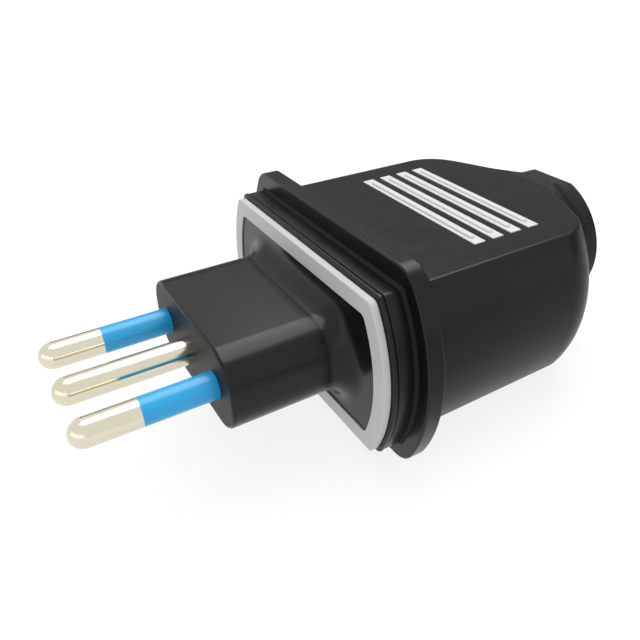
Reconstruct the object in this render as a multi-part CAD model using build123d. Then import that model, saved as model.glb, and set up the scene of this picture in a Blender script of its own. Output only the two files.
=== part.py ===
"""A rewireable rubber plug with three round pins in line, in millimetres.

The origin is the middle of the pin block's front face, on the middle pin's axis.
X runs along the row of pins, Y runs back along the plug to its cable outlet, and
Z is up. Nearly every outline of this plug is one form: a circle about the plug's
axis, cut by two level flats.
"""

import os

from build123d import *

# Pins and their sleeves
pin_diameter = 4.0
pin_pitch = 9.5
pin_length = 18.7
pin_seat_diameter = 3.5
sleeve_length = 10.0
sleeve_wall = 0.5
pin_collar_diameter = 7.6
pin_collar_thickness = 1.5
terminal_diameter = 6.6
terminal_length = 13.0
wire_bore_diameter = 3.0
wire_bore_depth = 8.5
wire_bore_lead_in = 0.5

# Terminal screws
terminal_screw_diameter = 3.0
terminal_screw_head_diameter = 4.6
terminal_screw_head_height = 1.9
terminal_screw_setback = 4.8
terminal_flat_height = 2.7

# Details that all screws share
driver_slot_width = 0.8
driver_slot_depth = 0.9
screw_point_chamfer = 0.35
screw_head_edge = 0.3

# Pin block and front plate of the insert
block_radius = 15.3
block_half_height = 6.13
block_corner = 5.2
block_depth = 17.7
block_front_edge = 0.45
block_root_fillet = 3.2
plate_wall = 2.6
insert_wall = 2.4
spigot_corner = 2.4
insert_lip_proud = 0.1
insert_lip_corner = 1.2
insert_lip_thickness = 0.9
insert_lip_edge = 0.35
spigot_length = 7.75
snap_bead_height = 0.6
snap_bead_width = 1.4
snap_bead_setback = 3.4

# Sealing ring
ring_setback = 0.6
ring_outer_corner = 1.2
ring_band = 2.6
ring_inner_corner = 1.2
ring_thickness = 1.17
ring_proud = 0.2
ring_edge = 0.2

# Rubber housing
neck_radius = 24.5
neck_half_height = 12.95
neck_corner = 1.0
neck_length = 2.9
neck_front_edge = 0.2
neck_root_fillet = 0.5
flange_overhang = 2.6
flange_overhang_level = 3.15
flange_corner = 4.4
flange_thickness = 2.75
flange_edge = 0.3
body_radius = 23.72
body_half_height = 12.4
body_edge = 0.6
body_root_fillet = 0.4
body_length = 33.0
shoulder_fillet = 8.7
shoulder_length = 7.25
outlet_radius = 12.5
outlet_fillet = 7.3
outlet_length = 6.8
outlet_flat_drop = 0.8
outlet_flat_length = 7.0
outlet_edge = 0.5
housing_wall = 2.6
cable_bore_radius = 4.75
cable_bore_length = 6.0
cable_bore_lead_out = 1.2
inner_shoulder_fillet = 6.0

# Grip bars on the housing's top
grip_bar_count = 4
grip_bar_pitch = 3.636
grip_bar_width = 2.07
grip_bar_length = 30.6
grip_bar_setback = 14.2
grip_bar_inlay = 0.5
grip_bar_proud = 0.15
grip_ridge_width = 0.9
grip_ridge_height = 0.4
grip_ridge_end_gap = 1.6

# Terminal carrier, which holds the pins from behind
carrier_plate_thickness = 2.0
carrier_corner = 1.0
carrier_floor_thickness = 1.6
carrier_floor_width = 29.0
carrier_rim_thickness = 1.2
barrier_thickness = 1.3
barrier_length = 13.5
barrier_top = 4.6
saddle_edge = 0.8
saddle_length = 8.0
saddle_gap = 8.5
cable_diameter = 9.0
carrier_screw_diameter = 2.5
carrier_screw_length = 8.0
carrier_screw_head_diameter = 4.2
carrier_screw_head_height = 1.4
carrier_screw_inset = 2.75

# Cord clamp
clamp_length = 6.0
clamp_thickness = 2.2
clamp_ear_thickness = 2.0
clamp_grip_count = 3
clamp_grip_depth = 0.5
clamp_grip_width = 0.9
clamp_screw_diameter = 3.0
clamp_screw_length = 7.2
clamp_screw_head_diameter = 5.4
clamp_screw_head_height = 1.9

# Clearances between pieces that slide together
fit_gap = 0.05
assembly_gap = 0.2

# How far an edge or face may lie from the plane it is picked by
pick_tolerance = 0.001

# Stations along the plug's axis
plate_y = block_depth
ring_front_y = plate_y - ring_proud
lip_front_y = ring_front_y + ring_thickness
neck_front_y = lip_front_y + insert_lip_thickness
flange_front_y = neck_front_y + neck_length
body_front_y = flange_front_y + flange_thickness
shoulder_y = body_front_y + body_length
outlet_y = shoulder_y + shoulder_length
outlet_end_y = outlet_y + outlet_length
pocket_floor_y = plate_y + plate_wall
carrier_front_y = pocket_floor_y + pin_collar_thickness
carrier_back_y = carrier_front_y + carrier_plate_thickness
terminal_end_y = carrier_front_y + terminal_length
terminal_screw_y = terminal_end_y - terminal_screw_setback
spigot_end_y = neck_front_y + spigot_length
snap_bead_y = spigot_end_y - snap_bead_setback
barrier_end_y = carrier_back_y + barrier_length
saddle_front_y = barrier_end_y + saddle_gap
saddle_end_y = saddle_front_y + saddle_length
clamp_front_y = saddle_front_y + (saddle_length - clamp_length) / 2
clamp_middle_y = clamp_front_y + clamp_length / 2

# Sizes that follow from a neighbour
sleeve_core_diameter = pin_diameter - 2 * sleeve_wall
pin_bore_radius = pin_seat_diameter / 2 + fit_gap
insert_lip_radius = neck_radius + insert_lip_proud
insert_lip_half_height = neck_half_height + insert_lip_proud
ring_outer_radius = insert_lip_radius - ring_setback
ring_outer_half_height = insert_lip_half_height - ring_setback
flange_radius = neck_radius + flange_overhang
flange_half_height = neck_half_height + flange_overhang_level
outlet_flat_half_height = body_half_height - outlet_flat_drop
ring_inner_radius = ring_outer_radius - ring_band
ring_inner_half_height = ring_outer_half_height - ring_band
boss_radius = ring_inner_radius - fit_gap
boss_half_height = ring_inner_half_height - fit_gap
cavity_radius = body_radius - housing_wall
cavity_half_height = body_half_height - housing_wall
spigot_radius = cavity_radius - fit_gap
spigot_half_height = cavity_half_height - fit_gap
pocket_radius = spigot_radius - insert_wall
pocket_half_height = spigot_half_height - insert_wall
carrier_radius = pocket_radius - assembly_gap
carrier_half_height = pocket_half_height - assembly_gap
carrier_floor_top = -carrier_half_height + carrier_floor_thickness
carrier_screw_height = carrier_half_height - carrier_screw_inset
cable_channel_radius = cable_diameter / 2
clamp_arch_radius = cable_channel_radius + clamp_thickness
clamp_screw_x = clamp_arch_radius + assembly_gap + clamp_screw_head_diameter / 2
saddle_width = 2 * (clamp_screw_x + clamp_screw_head_diameter / 2 + saddle_edge)
snap_bead_slope = min(snap_bead_height, snap_bead_width / 2) - fit_gap
grip_ridge_round = min(grip_ridge_height, grip_ridge_width / 2) - fit_gap
row_of_pins = [-pin_pitch, 0.0, pin_pitch]


def across(y):
    """The plane square to the plug's axis at y, seen from the pins."""
    return Plane(origin=(0, y, 0), x_dir=(1, 0, 0), z_dir=(0, -1, 0))


def flatted_outline(radius, half_height, corner):
    """A circle cut by two level flats, its four corners rounded."""
    outline = Circle(radius) & Rectangle(2 * radius, 2 * half_height)
    return fillet(outline.vertices(), corner)


def flatted_slug(radius, half_height, corner, start, end):
    """The same outline carried along the axis from start to end."""
    outline = across(start) * flatted_outline(radius, half_height, corner)
    return extrude(outline, amount=end - start, dir=(0, 1, 0))


def rod(radius, start, end, x=0.0, z=0.0):
    """A round rod along the axis from start to end."""
    circle = across(start) * Pos(x, z) * Circle(radius)
    return extrude(circle, amount=end - start, dir=(0, 1, 0))


def block(x_size, z_low, z_high, start, end, x=0.0):
    """A square-edged block, centred on x."""
    size = Box(x_size, end - start, z_high - z_low)
    return Pos(x, (start + end) / 2, (z_low + z_high) / 2) * size


def edges_at(solid, y):
    """The edges that lie wholly in the plane at y."""
    return solid.edges().filter_by_position(Axis.Y, y - pick_tolerance, y + pick_tolerance)


def inner_edges_at(solid, y):
    """The inner outline of the solid's level face at y."""
    faces = solid.faces().filter_by_position(Axis.Y, y - pick_tolerance, y + pick_tolerance)
    return faces[0].inner_wires()[0].edges()


def turned(points, radii):
    """A solid turned about the plug's axis from radius and height points."""
    path = FilletPolyline(*points, radius=radii)
    close = Polyline(points[-1], (0, points[-1][1]), (0, points[0][1]), points[0])
    return revolve(make_face(path.edges() + close.edges()), axis=Axis.Y)


def pin_profile():
    """Half of a pin's outline: round tip, shank, seat in the block, collar and terminal."""
    radius = pin_diameter / 2
    tip_middle = -pin_length + radius
    with BuildLine() as line:
        Polyline(
            (0, -pin_length),
            (0, terminal_end_y),
            (terminal_diameter / 2, terminal_end_y),
            (terminal_diameter / 2, carrier_front_y),
            (pin_collar_diameter / 2, carrier_front_y),
            (pin_collar_diameter / 2, pocket_floor_y),
            (pin_seat_diameter / 2, pocket_floor_y),
            (pin_seat_diameter / 2, 0),
            (radius, 0),
            (radius, tip_middle),
        )
        CenterArc((0, tip_middle), radius, -90, 90)
    return make_face(line.edges())


def make_pin(x):
    """One turned brass pin with the bore for its wire and the tapped screw hole."""
    pin = revolve(pin_profile(), axis=Axis.Y)
    pin -= rod(wire_bore_diameter / 2, terminal_end_y - wire_bore_depth, terminal_end_y)
    mouth = edges_at(pin, terminal_end_y).filter_by(GeomType.CIRCLE).sort_by(SortBy.RADIUS)
    pin = chamfer(mouth[0], wire_bore_lead_in)
    flat_depth = terminal_diameter / 2 - terminal_flat_height
    flat_radius = terminal_screw_head_diameter / 2 + assembly_gap
    flat = Cylinder(flat_radius, 2 * flat_depth)
    pin -= Pos(0, terminal_screw_y, terminal_flat_height + flat_depth) * flat
    hole = Cylinder(terminal_screw_diameter / 2 + fit_gap, terminal_flat_height)
    pin -= Pos(0, terminal_screw_y, terminal_flat_height / 2) * hole
    return Pos(x, 0, 0) * pin


def make_live_pin(x):
    """A pin whose shank is turned down to take its sleeve."""
    core = rod(sleeve_core_diameter / 2, -sleeve_length, 0, x)
    return make_pin(x) - (rod(pin_diameter, -sleeve_length, 0, x) - core)


def make_sleeve(x):
    """The insulating sleeve over a live pin's root, flush with the pin."""
    core = rod(sleeve_core_diameter / 2, -sleeve_length, 0, x)
    return rod(pin_diameter / 2, -sleeve_length, 0, x) - core


def slotted_screw(diameter, length, head_diameter, head_height):
    """A slotted screw with a cheese head, standing on its head's underside."""
    shank = Pos(0, 0, -length / 2) * Cylinder(diameter / 2, length)
    shank = chamfer(shank.edges().sort_by(Axis.Z)[0], screw_point_chamfer)
    head = Pos(0, 0, head_height / 2) * Cylinder(head_diameter / 2, head_height)
    head = fillet(head.edges().sort_by(Axis.Z)[-1], screw_head_edge)
    slot_middle = head_height - driver_slot_depth / 2
    slot = Pos(0, 0, slot_middle) * Box(2 * head_diameter, driver_slot_width, driver_slot_depth)
    return shank + head - slot


def make_terminal_screw(x):
    """The screw that grips the wire in a pin's terminal."""
    screw = slotted_screw(
        terminal_screw_diameter,
        terminal_flat_height,
        terminal_screw_head_diameter,
        terminal_screw_head_height,
    )
    return Pos(x, terminal_screw_y, terminal_flat_height) * screw


def carrier_screw_places():
    """The two carrier screws sit between the pins, one low and one high."""
    return [(-pin_pitch / 2, carrier_screw_height), (pin_pitch / 2, -carrier_screw_height)]


def make_carrier_screw(x, z):
    """A screw that holds the carrier to the insert, its head to the back."""
    screw = slotted_screw(
        carrier_screw_diameter,
        carrier_screw_length,
        carrier_screw_head_diameter,
        carrier_screw_head_height,
    )
    return Pos(x, carrier_back_y, z) * Rot(-90, 0, 0) * screw


def make_insert():
    """The rigid front moulding: pin block, plate, lip and the spigot behind them."""
    front = flatted_slug(block_radius, block_half_height, block_corner, 0, plate_y)
    front = fillet(edges_at(front, 0), block_front_edge)
    boss = flatted_slug(boss_radius, boss_half_height, ring_inner_corner, plate_y, lip_front_y)
    front = fillet(inner_edges_at(front + boss, plate_y), block_root_fillet)
    lip = flatted_slug(
        insert_lip_radius, insert_lip_half_height, insert_lip_corner, lip_front_y, neck_front_y
    )
    lip = fillet(lip.edges().filter_by(Plane.XZ), insert_lip_edge)
    spigot = flatted_slug(
        spigot_radius, spigot_half_height, spigot_corner, neck_front_y, spigot_end_y
    )
    bead = flatted_slug(
        spigot_radius + snap_bead_height,
        spigot_half_height + snap_bead_height,
        spigot_corner,
        snap_bead_y,
        snap_bead_y + snap_bead_width,
    )
    bead = chamfer(bead.edges().filter_by(Plane.XZ), snap_bead_slope)
    pocket = flatted_slug(
        pocket_radius, pocket_half_height, carrier_corner, pocket_floor_y, spigot_end_y
    )
    insert = front + lip + spigot + bead - pocket
    for x in row_of_pins:
        insert -= rod(pin_bore_radius, 0, pocket_floor_y, x)
    for x, z in carrier_screw_places():
        depth = carrier_screw_length - carrier_plate_thickness
        insert -= rod(carrier_screw_diameter / 2, carrier_front_y - depth, pocket_floor_y, x, z)
    return insert


def make_carrier():
    """The terminal carrier: a plate over the pins' collars, barriers and a cord saddle."""
    plate = flatted_slug(
        carrier_radius, carrier_half_height, carrier_corner, carrier_front_y, carrier_back_y
    )
    floor = block(
        carrier_floor_width, -carrier_half_height, carrier_floor_top, carrier_back_y, saddle_end_y
    )
    carrier = plate + floor
    rim_x = (carrier_floor_width - carrier_rim_thickness) / 2
    walls = [(-rim_x, carrier_rim_thickness), (rim_x, carrier_rim_thickness)]
    walls += [(-pin_pitch / 2, barrier_thickness), (pin_pitch / 2, barrier_thickness)]
    for x, thickness in walls:
        carrier += block(
            thickness, carrier_floor_top, barrier_top, carrier_back_y, barrier_end_y, x
        )
    saddle = block(saddle_width, carrier_floor_top, 0, saddle_front_y, saddle_end_y)
    carrier += saddle - rod(cable_channel_radius, saddle_front_y, saddle_end_y)
    for x in row_of_pins:
        carrier -= rod(terminal_diameter / 2 + fit_gap, carrier_front_y, carrier_back_y, x)
    for x, z in carrier_screw_places():
        carrier -= rod(carrier_screw_diameter / 2 + fit_gap, carrier_front_y, carrier_back_y, x, z)
        head_room = carrier_screw_head_diameter / 2 + assembly_gap
        carrier -= rod(head_room, carrier_back_y, barrier_end_y, x, z)
    for side in (-1, 1):
        depth = clamp_screw_length - clamp_ear_thickness
        hole = Cylinder(clamp_screw_diameter / 2, depth)
        carrier -= Pos(side * clamp_screw_x, clamp_middle_y, -depth / 2) * hole
    return carrier


def make_clamp():
    """The arched bar that grips the cord's jacket against the saddle."""
    clamp_end_y = clamp_front_y + clamp_length
    ears = block(saddle_width, 0, clamp_ear_thickness, clamp_front_y, clamp_end_y)
    above = block(2 * clamp_arch_radius, 0, clamp_arch_radius, clamp_front_y, clamp_end_y)
    arch = rod(clamp_arch_radius, clamp_front_y, clamp_end_y) & above
    clamp = ears + arch - rod(cable_channel_radius, clamp_front_y, clamp_end_y)
    pitch = clamp_length / clamp_grip_count
    for index in range(clamp_grip_count):
        start = clamp_front_y + (index + 0.5) * pitch - clamp_grip_width / 2
        rib = rod(cable_channel_radius, start, start + clamp_grip_width)
        rib -= rod(cable_channel_radius - clamp_grip_depth, start, start + clamp_grip_width)
        clamp += rib & above
    for side in (-1, 1):
        hole = Cylinder(clamp_screw_diameter / 2 + fit_gap, clamp_ear_thickness)
        place = Pos(side * clamp_screw_x, clamp_middle_y, clamp_ear_thickness / 2)
        clamp -= place * hole
    return clamp


def make_clamp_screw(side):
    """A screw through the clamp's ear into the saddle."""
    screw = slotted_screw(
        clamp_screw_diameter,
        clamp_screw_length,
        clamp_screw_head_diameter,
        clamp_screw_head_height,
    )
    return Pos(side * clamp_screw_x, clamp_middle_y, clamp_ear_thickness) * screw


def make_ring():
    """The flat sealing ring round the boss, against the lip."""
    outer = flatted_slug(
        ring_outer_radius, ring_outer_half_height, ring_outer_corner, ring_front_y, lip_front_y
    )
    inner = flatted_slug(
        ring_inner_radius, ring_inner_half_height, ring_inner_corner, ring_front_y, lip_front_y
    )
    outer = fillet(outer.edges().filter_by(Plane.XZ), ring_edge)
    return outer - inner


def body_envelope():
    """The body, turned with its shoulder and outlet, then cut by the two flats."""
    path = [
        (body_radius, flange_front_y),
        (body_radius, shoulder_y),
        (outlet_radius, outlet_y),
        (outlet_radius, outlet_end_y),
    ]
    form = turned(path, [shoulder_fillet, outlet_fillet])
    length = outlet_end_y - flange_front_y
    middle = flange_front_y + length / 2
    slab = Pos(0, middle, 0) * Box(2 * flange_radius, length, 2 * body_half_height)
    body = form & slab
    faces = body.faces().sort_by(Axis.Z)
    long_edges = []
    for flat in (faces[0], faces[-1]):
        long_edges += [edge for edge in flat.edges() if edge.bounding_box().size.Y > fit_gap]
    return fillet(long_edges, body_edge)


def housing_cavity():
    """The room inside the housing, a wall's thickness within its outside."""
    slope = (body_radius - outlet_radius) / shoulder_length
    steep = (1 + slope**2) ** 0.5
    inner_shoulder_y = shoulder_y - housing_wall * (steep - 1) / slope
    cone_end_y = outlet_end_y - cable_bore_length
    cone_end_radius = cavity_radius - slope * (cone_end_y - inner_shoulder_y)
    path = [
        (cavity_radius, neck_front_y),
        (cavity_radius, inner_shoulder_y),
        (cone_end_radius, cone_end_y),
    ]
    form = turned(path, [inner_shoulder_fillet])
    length = cone_end_y - neck_front_y
    middle = neck_front_y + length / 2
    slab = Pos(0, middle, 0) * Box(2 * flange_radius, length, 2 * cavity_half_height)
    return form & slab


def outlet_flat_cut(side):
    """What the outlet loses to a flat that slopes in towards its end."""
    start = outlet_end_y - outlet_flat_length
    outline = Polyline(
        (start, side * body_half_height),
        (outlet_end_y, side * outlet_flat_half_height),
        (outlet_end_y, side * 2 * body_half_height),
        (start, side * 2 * body_half_height),
        close=True,
    )
    return extrude(Plane.YZ * make_face(outline), amount=body_radius, both=True)


def make_housing():
    """The rubber housing: neck, flange, body, shoulder and cable outlet in one piece."""
    housing = body_envelope()
    for side in (-1, 1):
        housing -= outlet_flat_cut(side)
    housing = fillet(edges_at(housing, outlet_end_y), outlet_edge)
    flange = flatted_slug(
        flange_radius, flange_half_height, flange_corner, flange_front_y, body_front_y
    )
    flange = fillet(flange.edges().filter_by(Plane.XZ), flange_edge)
    neck = flatted_slug(neck_radius, neck_half_height, neck_corner, neck_front_y, flange_front_y)
    neck = fillet(edges_at(neck, neck_front_y), neck_front_edge)
    housing = housing + flange + neck
    housing = fillet(inner_edges_at(housing, flange_front_y), neck_root_fillet)
    housing = fillet(inner_edges_at(housing, body_front_y), body_root_fillet)
    housing -= housing_cavity()
    housing -= rod(cable_bore_radius, outlet_end_y - cable_bore_length, outlet_end_y)
    circles = edges_at(housing, outlet_end_y).filter_by(GeomType.CIRCLE)
    housing = fillet(circles.sort_by(SortBy.RADIUS)[0], cable_bore_lead_out)
    groove = flatted_slug(
        spigot_radius + snap_bead_height + fit_gap,
        spigot_half_height + snap_bead_height + fit_gap,
        spigot_corner,
        snap_bead_y,
        snap_bead_y + snap_bead_width,
    )
    housing -= groove
    for index in range(grip_bar_count):
        housing -= grip_bar_inset(index)
    return housing


def grip_bar_start(index):
    """Where a grip bar starts along the axis."""
    return body_front_y + grip_bar_setback + index * grip_bar_pitch


def grip_bar_inset(index):
    """The shallow pocket in the housing's top that a grip bar fills."""
    start = grip_bar_start(index)
    low = body_half_height - grip_bar_inlay
    return block(grip_bar_length, low, body_half_height, start, start + grip_bar_width)


def make_grip_bar(index):
    """One pale inlaid bar with a half-round ridge along its middle."""
    start = grip_bar_start(index)
    top = body_half_height + grip_bar_proud
    bar = block(
        grip_bar_length, body_half_height - grip_bar_inlay, top, start, start + grip_bar_width
    )
    ridge_plane = Plane.XY.offset(top) * Pos(0, start + grip_bar_width / 2)
    ridge_length = grip_bar_length - 2 * grip_ridge_end_gap
    ridge = extrude(ridge_plane * SlotOverall(ridge_length, grip_ridge_width), grip_ridge_height)
    crest = top + grip_ridge_height
    crest_edges = ridge.edges().filter_by_position(
        Axis.Z, crest - pick_tolerance, crest + pick_tolerance
    )
    return bar + fillet(crest_edges, grip_ridge_round)


def write(name, solid):
    """Write one node to its own file."""
    export_step(solid, f"parts/{name}.step")


def main():
    os.makedirs("parts", exist_ok=True)
    write("front_insert", make_insert())
    write("line_pin", make_live_pin(row_of_pins[0]))
    write("earth_pin", make_pin(row_of_pins[1]))
    write("neutral_pin", make_live_pin(row_of_pins[2]))
    write("line_pin_sleeve", make_sleeve(row_of_pins[0]))
    write("neutral_pin_sleeve", make_sleeve(row_of_pins[2]))
    for name, x in zip(("line", "earth", "neutral"), row_of_pins):
        write(f"{name}_terminal_screw", make_terminal_screw(x))
    write("terminal_carrier", make_carrier())
    for index, (x, z) in enumerate(carrier_screw_places(), start=1):
        write(f"carrier_screw_{index}", make_carrier_screw(x, z))
    write("cord_clamp", make_clamp())
    for index, side in enumerate((-1, 1), start=1):
        write(f"cord_clamp_screw_{index}", make_clamp_screw(side))
    write("sealing_ring", make_ring())
    write("rubber_housing", make_housing())
    for index in range(grip_bar_count):
        write(f"grip_bar_{index + 1}", make_grip_bar(index))


main()
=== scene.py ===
"""The looks of a black rubber plug with three round pins, on a pale studio floor.

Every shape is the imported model's own. This script gives each piece its material, and
sets the floor, the lights and the camera. Lengths are in metres, in the model's frame.
"""

import math

import bpy
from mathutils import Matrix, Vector


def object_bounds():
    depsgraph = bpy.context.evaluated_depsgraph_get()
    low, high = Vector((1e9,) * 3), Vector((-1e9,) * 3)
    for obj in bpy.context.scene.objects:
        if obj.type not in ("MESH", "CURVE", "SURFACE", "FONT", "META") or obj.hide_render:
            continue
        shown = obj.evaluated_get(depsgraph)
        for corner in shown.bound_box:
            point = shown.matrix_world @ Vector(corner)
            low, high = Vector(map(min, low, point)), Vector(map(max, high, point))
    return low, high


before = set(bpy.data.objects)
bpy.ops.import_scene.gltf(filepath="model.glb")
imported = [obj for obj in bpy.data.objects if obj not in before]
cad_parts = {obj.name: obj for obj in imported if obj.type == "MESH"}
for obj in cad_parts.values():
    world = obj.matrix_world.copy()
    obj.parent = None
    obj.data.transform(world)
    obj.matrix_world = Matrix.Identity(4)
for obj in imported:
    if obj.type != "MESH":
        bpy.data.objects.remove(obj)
cad_low, cad_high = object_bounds()

MM = 0.001


def linear(hex_colour):
    """An sRGB hex colour as the linear RGBA that shaders take."""
    channels = [int(hex_colour[i : i + 2], 16) / 255 for i in (1, 3, 5)]
    return tuple(
        c / 12.92 if c <= 0.04045 else ((c + 0.055) / 1.055) ** 2.4 for c in channels
    ) + (1.0,)


def add(tree, kind, settings=None, values=None, links=None):
    """Adds a node with its settings, its input values and the sockets linked into it."""
    node = tree.nodes.new(kind)
    for name, value in (settings or {}).items():
        setattr(node, name, value)
    for name, value in (values or {}).items():
        node.inputs[name].default_value = value
    for name, socket in (links or {}).items():
        tree.links.new(socket, node.inputs[name])
    return node


def drifting_colour(tree, place, colour, other_colour, patch):
    """A socket whose colour drifts between two, in soft patches of the given size."""
    patches = add(
        tree,
        "ShaderNodeTexNoise",
        values={"Scale": 1 / patch, "Detail": 3.0, "Roughness": 0.55},
        links={"Vector": place},
    )
    blend = add(
        tree,
        "ShaderNodeMix",
        {"data_type": "RGBA"},
        {"A": linear(colour), "B": linear(other_colour)},
        {"Factor": patches.outputs["Fac"]},
    )
    return blend.outputs["Result"]


def drifting_gloss(tree, place, roughness, spread, patch):
    """A socket whose roughness drifts by the spread either way, in smeared patches."""
    smears = add(
        tree,
        "ShaderNodeTexNoise",
        values={"Scale": 1 / patch, "Detail": 4.0, "Roughness": 0.6, "Distortion": 0.4},
        links={"Vector": place},
    )
    gloss = add(
        tree,
        "ShaderNodeMapRange",
        values={
            "From Min": 0.3,
            "From Max": 0.7,
            "To Min": roughness - spread,
            "To Max": roughness + spread,
        },
        links={"Value": smears.outputs["Fac"]},
    )
    return gloss.outputs["Result"]


def matt_between(tree, place, gloss, start, end, matt_roughness):
    """The gloss socket's roughness, but matt between two places along the plug's length."""
    along = add(tree, "ShaderNodeSeparateXYZ", links={"Vector": place}).outputs["Y"]
    middle = (start + end) / 2
    in_band = add(
        tree,
        "ShaderNodeMath",
        {"operation": "COMPARE"},
        {1: middle, 2: end - middle},
        {0: along},
    )
    roughness = add(
        tree,
        "ShaderNodeMix",
        values={"B": matt_roughness},
        links={"Factor": in_band.outputs[0], "A": gloss},
    )
    return roughness.outputs["Result"]


def fine_relief(tree, place, grains):
    """A normal socket that stands the grains on each other, coarsest first."""
    relief = None
    for size, depth, stretch in grains:
        stretched = add(
            tree, "ShaderNodeMapping", values={"Scale": stretch}, links={"Vector": place}
        )
        grain = add(
            tree,
            "ShaderNodeTexNoise",
            values={"Scale": 1 / size, "Detail": 2.0},
            links={"Vector": stretched.outputs["Vector"]},
        )
        links = {"Height": grain.outputs["Fac"]}
        if relief:
            links["Normal"] = relief.outputs["Normal"]
        relief = add(
            tree, "ShaderNodeBump", values={"Strength": 1.0, "Distance": depth}, links=links
        )
    return relief.outputs["Normal"]


def surface(name, colour, gloss, grains, values, matt_band=None):
    """A moulded or turned surface whose colour, gloss and fine relief drift over the piece.

    colour is (colour, other colour, patch size), gloss is (roughness, spread, patch size),
    grains is a list of (grain size, relief depth, stretch along X, Y and Z), values are the
    shader's own even inputs, and matt_band is (start, end, roughness) along Y.
    """
    material = bpy.data.materials.new(name)
    material.use_nodes = True
    tree = material.node_tree
    tree.nodes.clear()
    place = add(tree, "ShaderNodeTexCoord").outputs["Object"]
    roughness = drifting_gloss(tree, place, *gloss)
    if matt_band:
        roughness = matt_between(tree, place, roughness, *matt_band)
    shader = add(
        tree,
        "ShaderNodeBsdfPrincipled",
        values=values,
        links={
            "Base Color": drifting_colour(tree, place, *colour),
            "Roughness": roughness,
            "Normal": fine_relief(tree, place, grains),
        },
    )
    add(tree, "ShaderNodeOutputMaterial", links={"Surface": shader.outputs["BSDF"]})
    return material


def dress(material, *nodes):
    """Gives a material to all the faces of these nodes."""
    for name in nodes:
        for material_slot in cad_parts[name].material_slots:
            material_slot.material = material


# Patches of colour and gloss have the size of a moulding's flow marks, a few millimetres.
# The finest grain of the real surfaces, some 0.05 mm, would not show, so it is drawn at
# 0.15 to 0.35 mm.
EVEN = (1.0, 1.0, 1.0)
AROUND_THE_PIN = (0.05, 1.0, 0.05)

# Vulcanised black rubber, moulded in a polished tool: deep black with a soft sheen, and
# so little colour of its own that nearly all the eye gets is the room in its surface. The
# tool was not polished in the crease between neck and flange, so that crease is matt.
NECK_CREASE = (21.95 * MM, 22.4695 * MM)
housing_rubber = surface(
    "moulded_black_rubber",
    colour=("#090808", "#0e0d0c", 9 * MM),
    gloss=(0.27, 0.03, 6 * MM),
    grains=[(3.0 * MM, 0.0015 * MM, EVEN), (0.35 * MM, 0.0004 * MM, EVEN)],
    values={"IOR": 1.5, "Specular IOR Level": 0.26},
    matt_band=(*NECK_CREASE, 0.7),
)

# Glass-filled nylon, injection moulded: the same black, with a harder and clearer gloss.
# The pin block's front face, at Y = 0, came from a matt part of the tool.
BLOCK_FACE = (-1 * MM, 0.01 * MM)
insert_plastic = surface(
    "black_moulded_nylon",
    colour=("#090808", "#0e0d0d", 8 * MM),
    gloss=(0.24, 0.03, 5 * MM),
    grains=[(3.0 * MM, 0.0008 * MM, EVEN), (0.3 * MM, 0.0002 * MM, EVEN)],
    values={"IOR": 1.53, "Specular IOR Level": 0.24},
    matt_band=(*BLOCK_FACE, 0.52),
)

# Light grey silicone rubber: soft, almost flat light, with a faint sheen on its edges.
seal_rubber = surface(
    "light_grey_silicone",
    colour=("#b3b2b1", "#aeadac", 7 * MM),
    gloss=(0.5, 0.04, 4 * MM),
    grains=[(1.5 * MM, 0.004 * MM, EVEN), (0.25 * MM, 0.001 * MM, EVEN)],
    values={"IOR": 1.43},
)

# Blue nylon moulded over the roots of the live pins: a clear colour under a smooth gloss.
sleeve_plastic = surface(
    "blue_moulded_nylon",
    colour=("#0c92ca", "#1096ce", 4 * MM),
    gloss=(0.26, 0.03, 3 * MM),
    grains=[(1.2 * MM, 0.002 * MM, EVEN), (0.25 * MM, 0.0004 * MM, EVEN)],
    values={"IOR": 1.53},
)

# Bright nickel over turned brass: a warm mirror with the tool's fine rings left in it.
nickel_plate = surface(
    "bright_nickel_on_brass",
    colour=("#dcd7c3", "#d7d1bb", 5 * MM),
    gloss=(0.14, 0.03, 3 * MM),
    grains=[(1.5 * MM, 0.002 * MM, EVEN), (0.2 * MM, 0.0008 * MM, AROUND_THE_PIN)],
    values={"Metallic": 1.0},
)

# Zinc-plated steel: a cooler, duller metal than the pins.
zinc_steel = surface(
    "zinc_plated_steel",
    colour=("#b9bcbd", "#adb0b2", 2 * MM),
    gloss=(0.34, 0.06, 1.5 * MM),
    grains=[(1.0 * MM, 0.004 * MM, EVEN), (0.15 * MM, 0.002 * MM, EVEN)],
    values={"Metallic": 1.0},
)

# Grey urea moulding, hidden in the housing: hard, with a dry and slightly mottled face.
carrier_plastic = surface(
    "grey_urea_moulding",
    colour=("#a9a7a1", "#9d9b95", 3 * MM),
    gloss=(0.55, 0.06, 3 * MM),
    grains=[(1.0 * MM, 0.008 * MM, EVEN), (0.2 * MM, 0.002 * MM, EVEN)],
    values={"IOR": 1.6},
)

# Off-white ABS inlaid in the rubber: clean and evenly lit, with a satin moulded face.
bar_plastic = surface(
    "off_white_moulded_abs",
    colour=("#c6c5c3", "#c1c0be", 6 * MM),
    gloss=(0.38, 0.04, 3 * MM),
    grains=[(1.0 * MM, 0.003 * MM, EVEN), (0.2 * MM, 0.0008 * MM, EVEN)],
    values={"IOR": 1.54},
)

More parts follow.
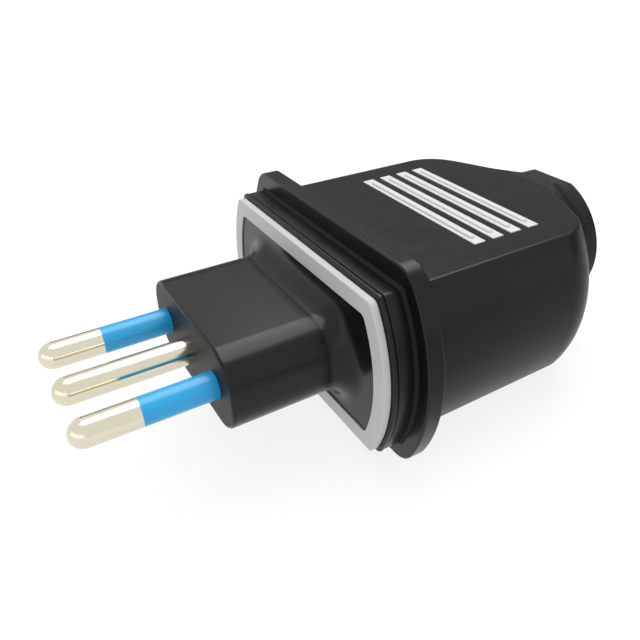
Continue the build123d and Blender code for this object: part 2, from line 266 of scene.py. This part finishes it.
live_pins = ("line", "neutral")
all_pins = ("line", "earth", "neutral")
dress(housing_rubber, "rubber_housing")
dress(insert_plastic, "front_insert")
dress(seal_rubber, "sealing_ring")
dress(sleeve_plastic, *[f"{name}_pin_sleeve" for name in live_pins])
dress(nickel_plate, *[f"{name}_pin" for name in all_pins])
dress(zinc_steel, *[f"{name}_terminal_screw" for name in all_pins])
dress(zinc_steel, *[f"{kind}_screw_{i}" for kind in ("carrier", "cord_clamp") for i in (1, 2)])
dress(carrier_plastic, "terminal_carrier", "cord_clamp")
dress(bar_plastic, *[f"grip_bar_{i}" for i in (1, 2, 3, 4)])


def sheet(name, corners, colour, glow):
    """A flat, evenly lit studio sheet through four corners."""
    mesh = bpy.data.meshes.new(name)
    mesh.from_pydata(corners, [], [(0, 1, 2, 3)])
    piece = bpy.data.objects.new(name, mesh)
    bpy.context.collection.objects.link(piece)
    material = bpy.data.materials.new(name)
    material.use_nodes = True
    paper = material.node_tree.nodes["Principled BSDF"]
    paper.inputs["Base Color"].default_value = linear(colour)
    paper.inputs["Roughness"].default_value = 0.9
    paper.inputs["Specular IOR Level"].default_value = 0.0
    paper.inputs["Emission Color"].default_value = linear("#ffffff")
    paper.inputs["Emission Strength"].default_value = glow
    mesh.materials.append(material)
    return piece


def level_corners(left, right, front, back, height):
    """The four corners of a level rectangle, counted anticlockwise from above."""
    return [
        (left, front, height),
        (right, front, height),
        (right, back, height),
        (left, back, height),
    ]


# The floor: a white table lit from below, so the plug's shadow on it is faint.
FLOOR_HALF = 2.0
ground = cad_low.z
floor_corners = level_corners(-FLOOR_HALF, FLOOR_HALF, -FLOOR_HALF, FLOOR_HALF, ground)
sheet("lit_white_table", floor_corners, "#747474", glow=0.83)

# A grey curtain at the far left, hidden from the camera, darkens what the tops reflect.
CURTAIN_NEAR = 1.1
CURTAIN_HALF = 2.4
CURTAIN_TOP = 0.8
CURTAIN_BEARING = math.radians(115)
left_end, right_end = [
    (
        CURTAIN_NEAR * math.cos(CURTAIN_BEARING) - side * math.sin(CURTAIN_BEARING),
        CURTAIN_NEAR * math.sin(CURTAIN_BEARING) + side * math.cos(CURTAIN_BEARING),
    )
    for side in (CURTAIN_HALF, -CURTAIN_HALF)
]
curtain_corners = [
    (*left_end, ground),
    (*right_end, ground),
    (*right_end, CURTAIN_TOP),
    (*left_end, CURTAIN_TOP),
]
curtain = sheet("grey_curtain", curtain_corners, "#8e8e8e", glow=0.0)
curtain.visible_camera = False

# Two grey cards on the table behind the flange, seen only in reflections, keep the
# lower edge of the body's side and the far edge of its shoulder dark.
CARD_FRONT, CARD_BACK, CARD_WIDTH = 30 * MM, 1.5, 1.0
card_height = ground + 0.2 * MM
for name, left, glow in (("far_grey_card", -CARD_WIDTH, 0.32), ("near_grey_card", 0, 0.68)):
    corners = level_corners(left, left + CARD_WIDTH, CARD_FRONT, CARD_BACK, card_height)
    card = sheet(name, corners, "#000000", glow)
    card.visible_camera = False
    card.visible_diffuse = False
    card.visible_shadow = False

# The room: an even pale surround.
world = bpy.data.worlds.new("pale_room")
world.use_nodes = True
world.node_tree.nodes["Background"].inputs["Color"].default_value = linear("#ffffff")
world.node_tree.nodes["Background"].inputs["Strength"].default_value = 1.0
bpy.context.scene.world = world


def softbox(name, turn, distance, size, power):
    """A soft rectangular light that looks straight down, turned about the plug in degrees."""
    lamp = bpy.data.lights.new(name, "AREA")
    lamp.shape = "RECTANGLE"
    lamp.size, lamp.size_y = size
    lamp.energy = power
    light = bpy.data.objects.new(name, lamp)
    bpy.context.collection.objects.link(light)
    light.rotation_euler = [math.radians(angle) for angle in turn]
    light.location = light.rotation_euler.to_matrix() @ Vector((0, 0, distance))


softbox("overhead_softbox", turn=(26, 0, 226), distance=0.8, size=(0.6, 0.78), power=5.1)
softbox("front_softbox", turn=(76, 0, 30), distance=0.9, size=(2.0, 0.4), power=1.2)

# The camera stands where the photograph was taken from, with the same framing.
camera_data = bpy.data.cameras.new("camera")
camera_data.lens = 37.76
camera_data.sensor_width = 36
camera_data.sensor_fit = "HORIZONTAL"
camera_data.shift_x = -0.0890
camera_data.shift_y = -0.0928
camera_data.clip_start = 0.005
camera = bpy.data.objects.new("camera", camera_data)
camera.location = (81.17 * MM, -21.54 * MM, 56.36 * MM)
camera.rotation_euler = (math.radians(62.275), 0, math.radians(56.466))
bpy.context.collection.objects.link(camera)
bpy.context.scene.camera = camera
bpy.context.scene.view_settings.view_transform = "Standard"
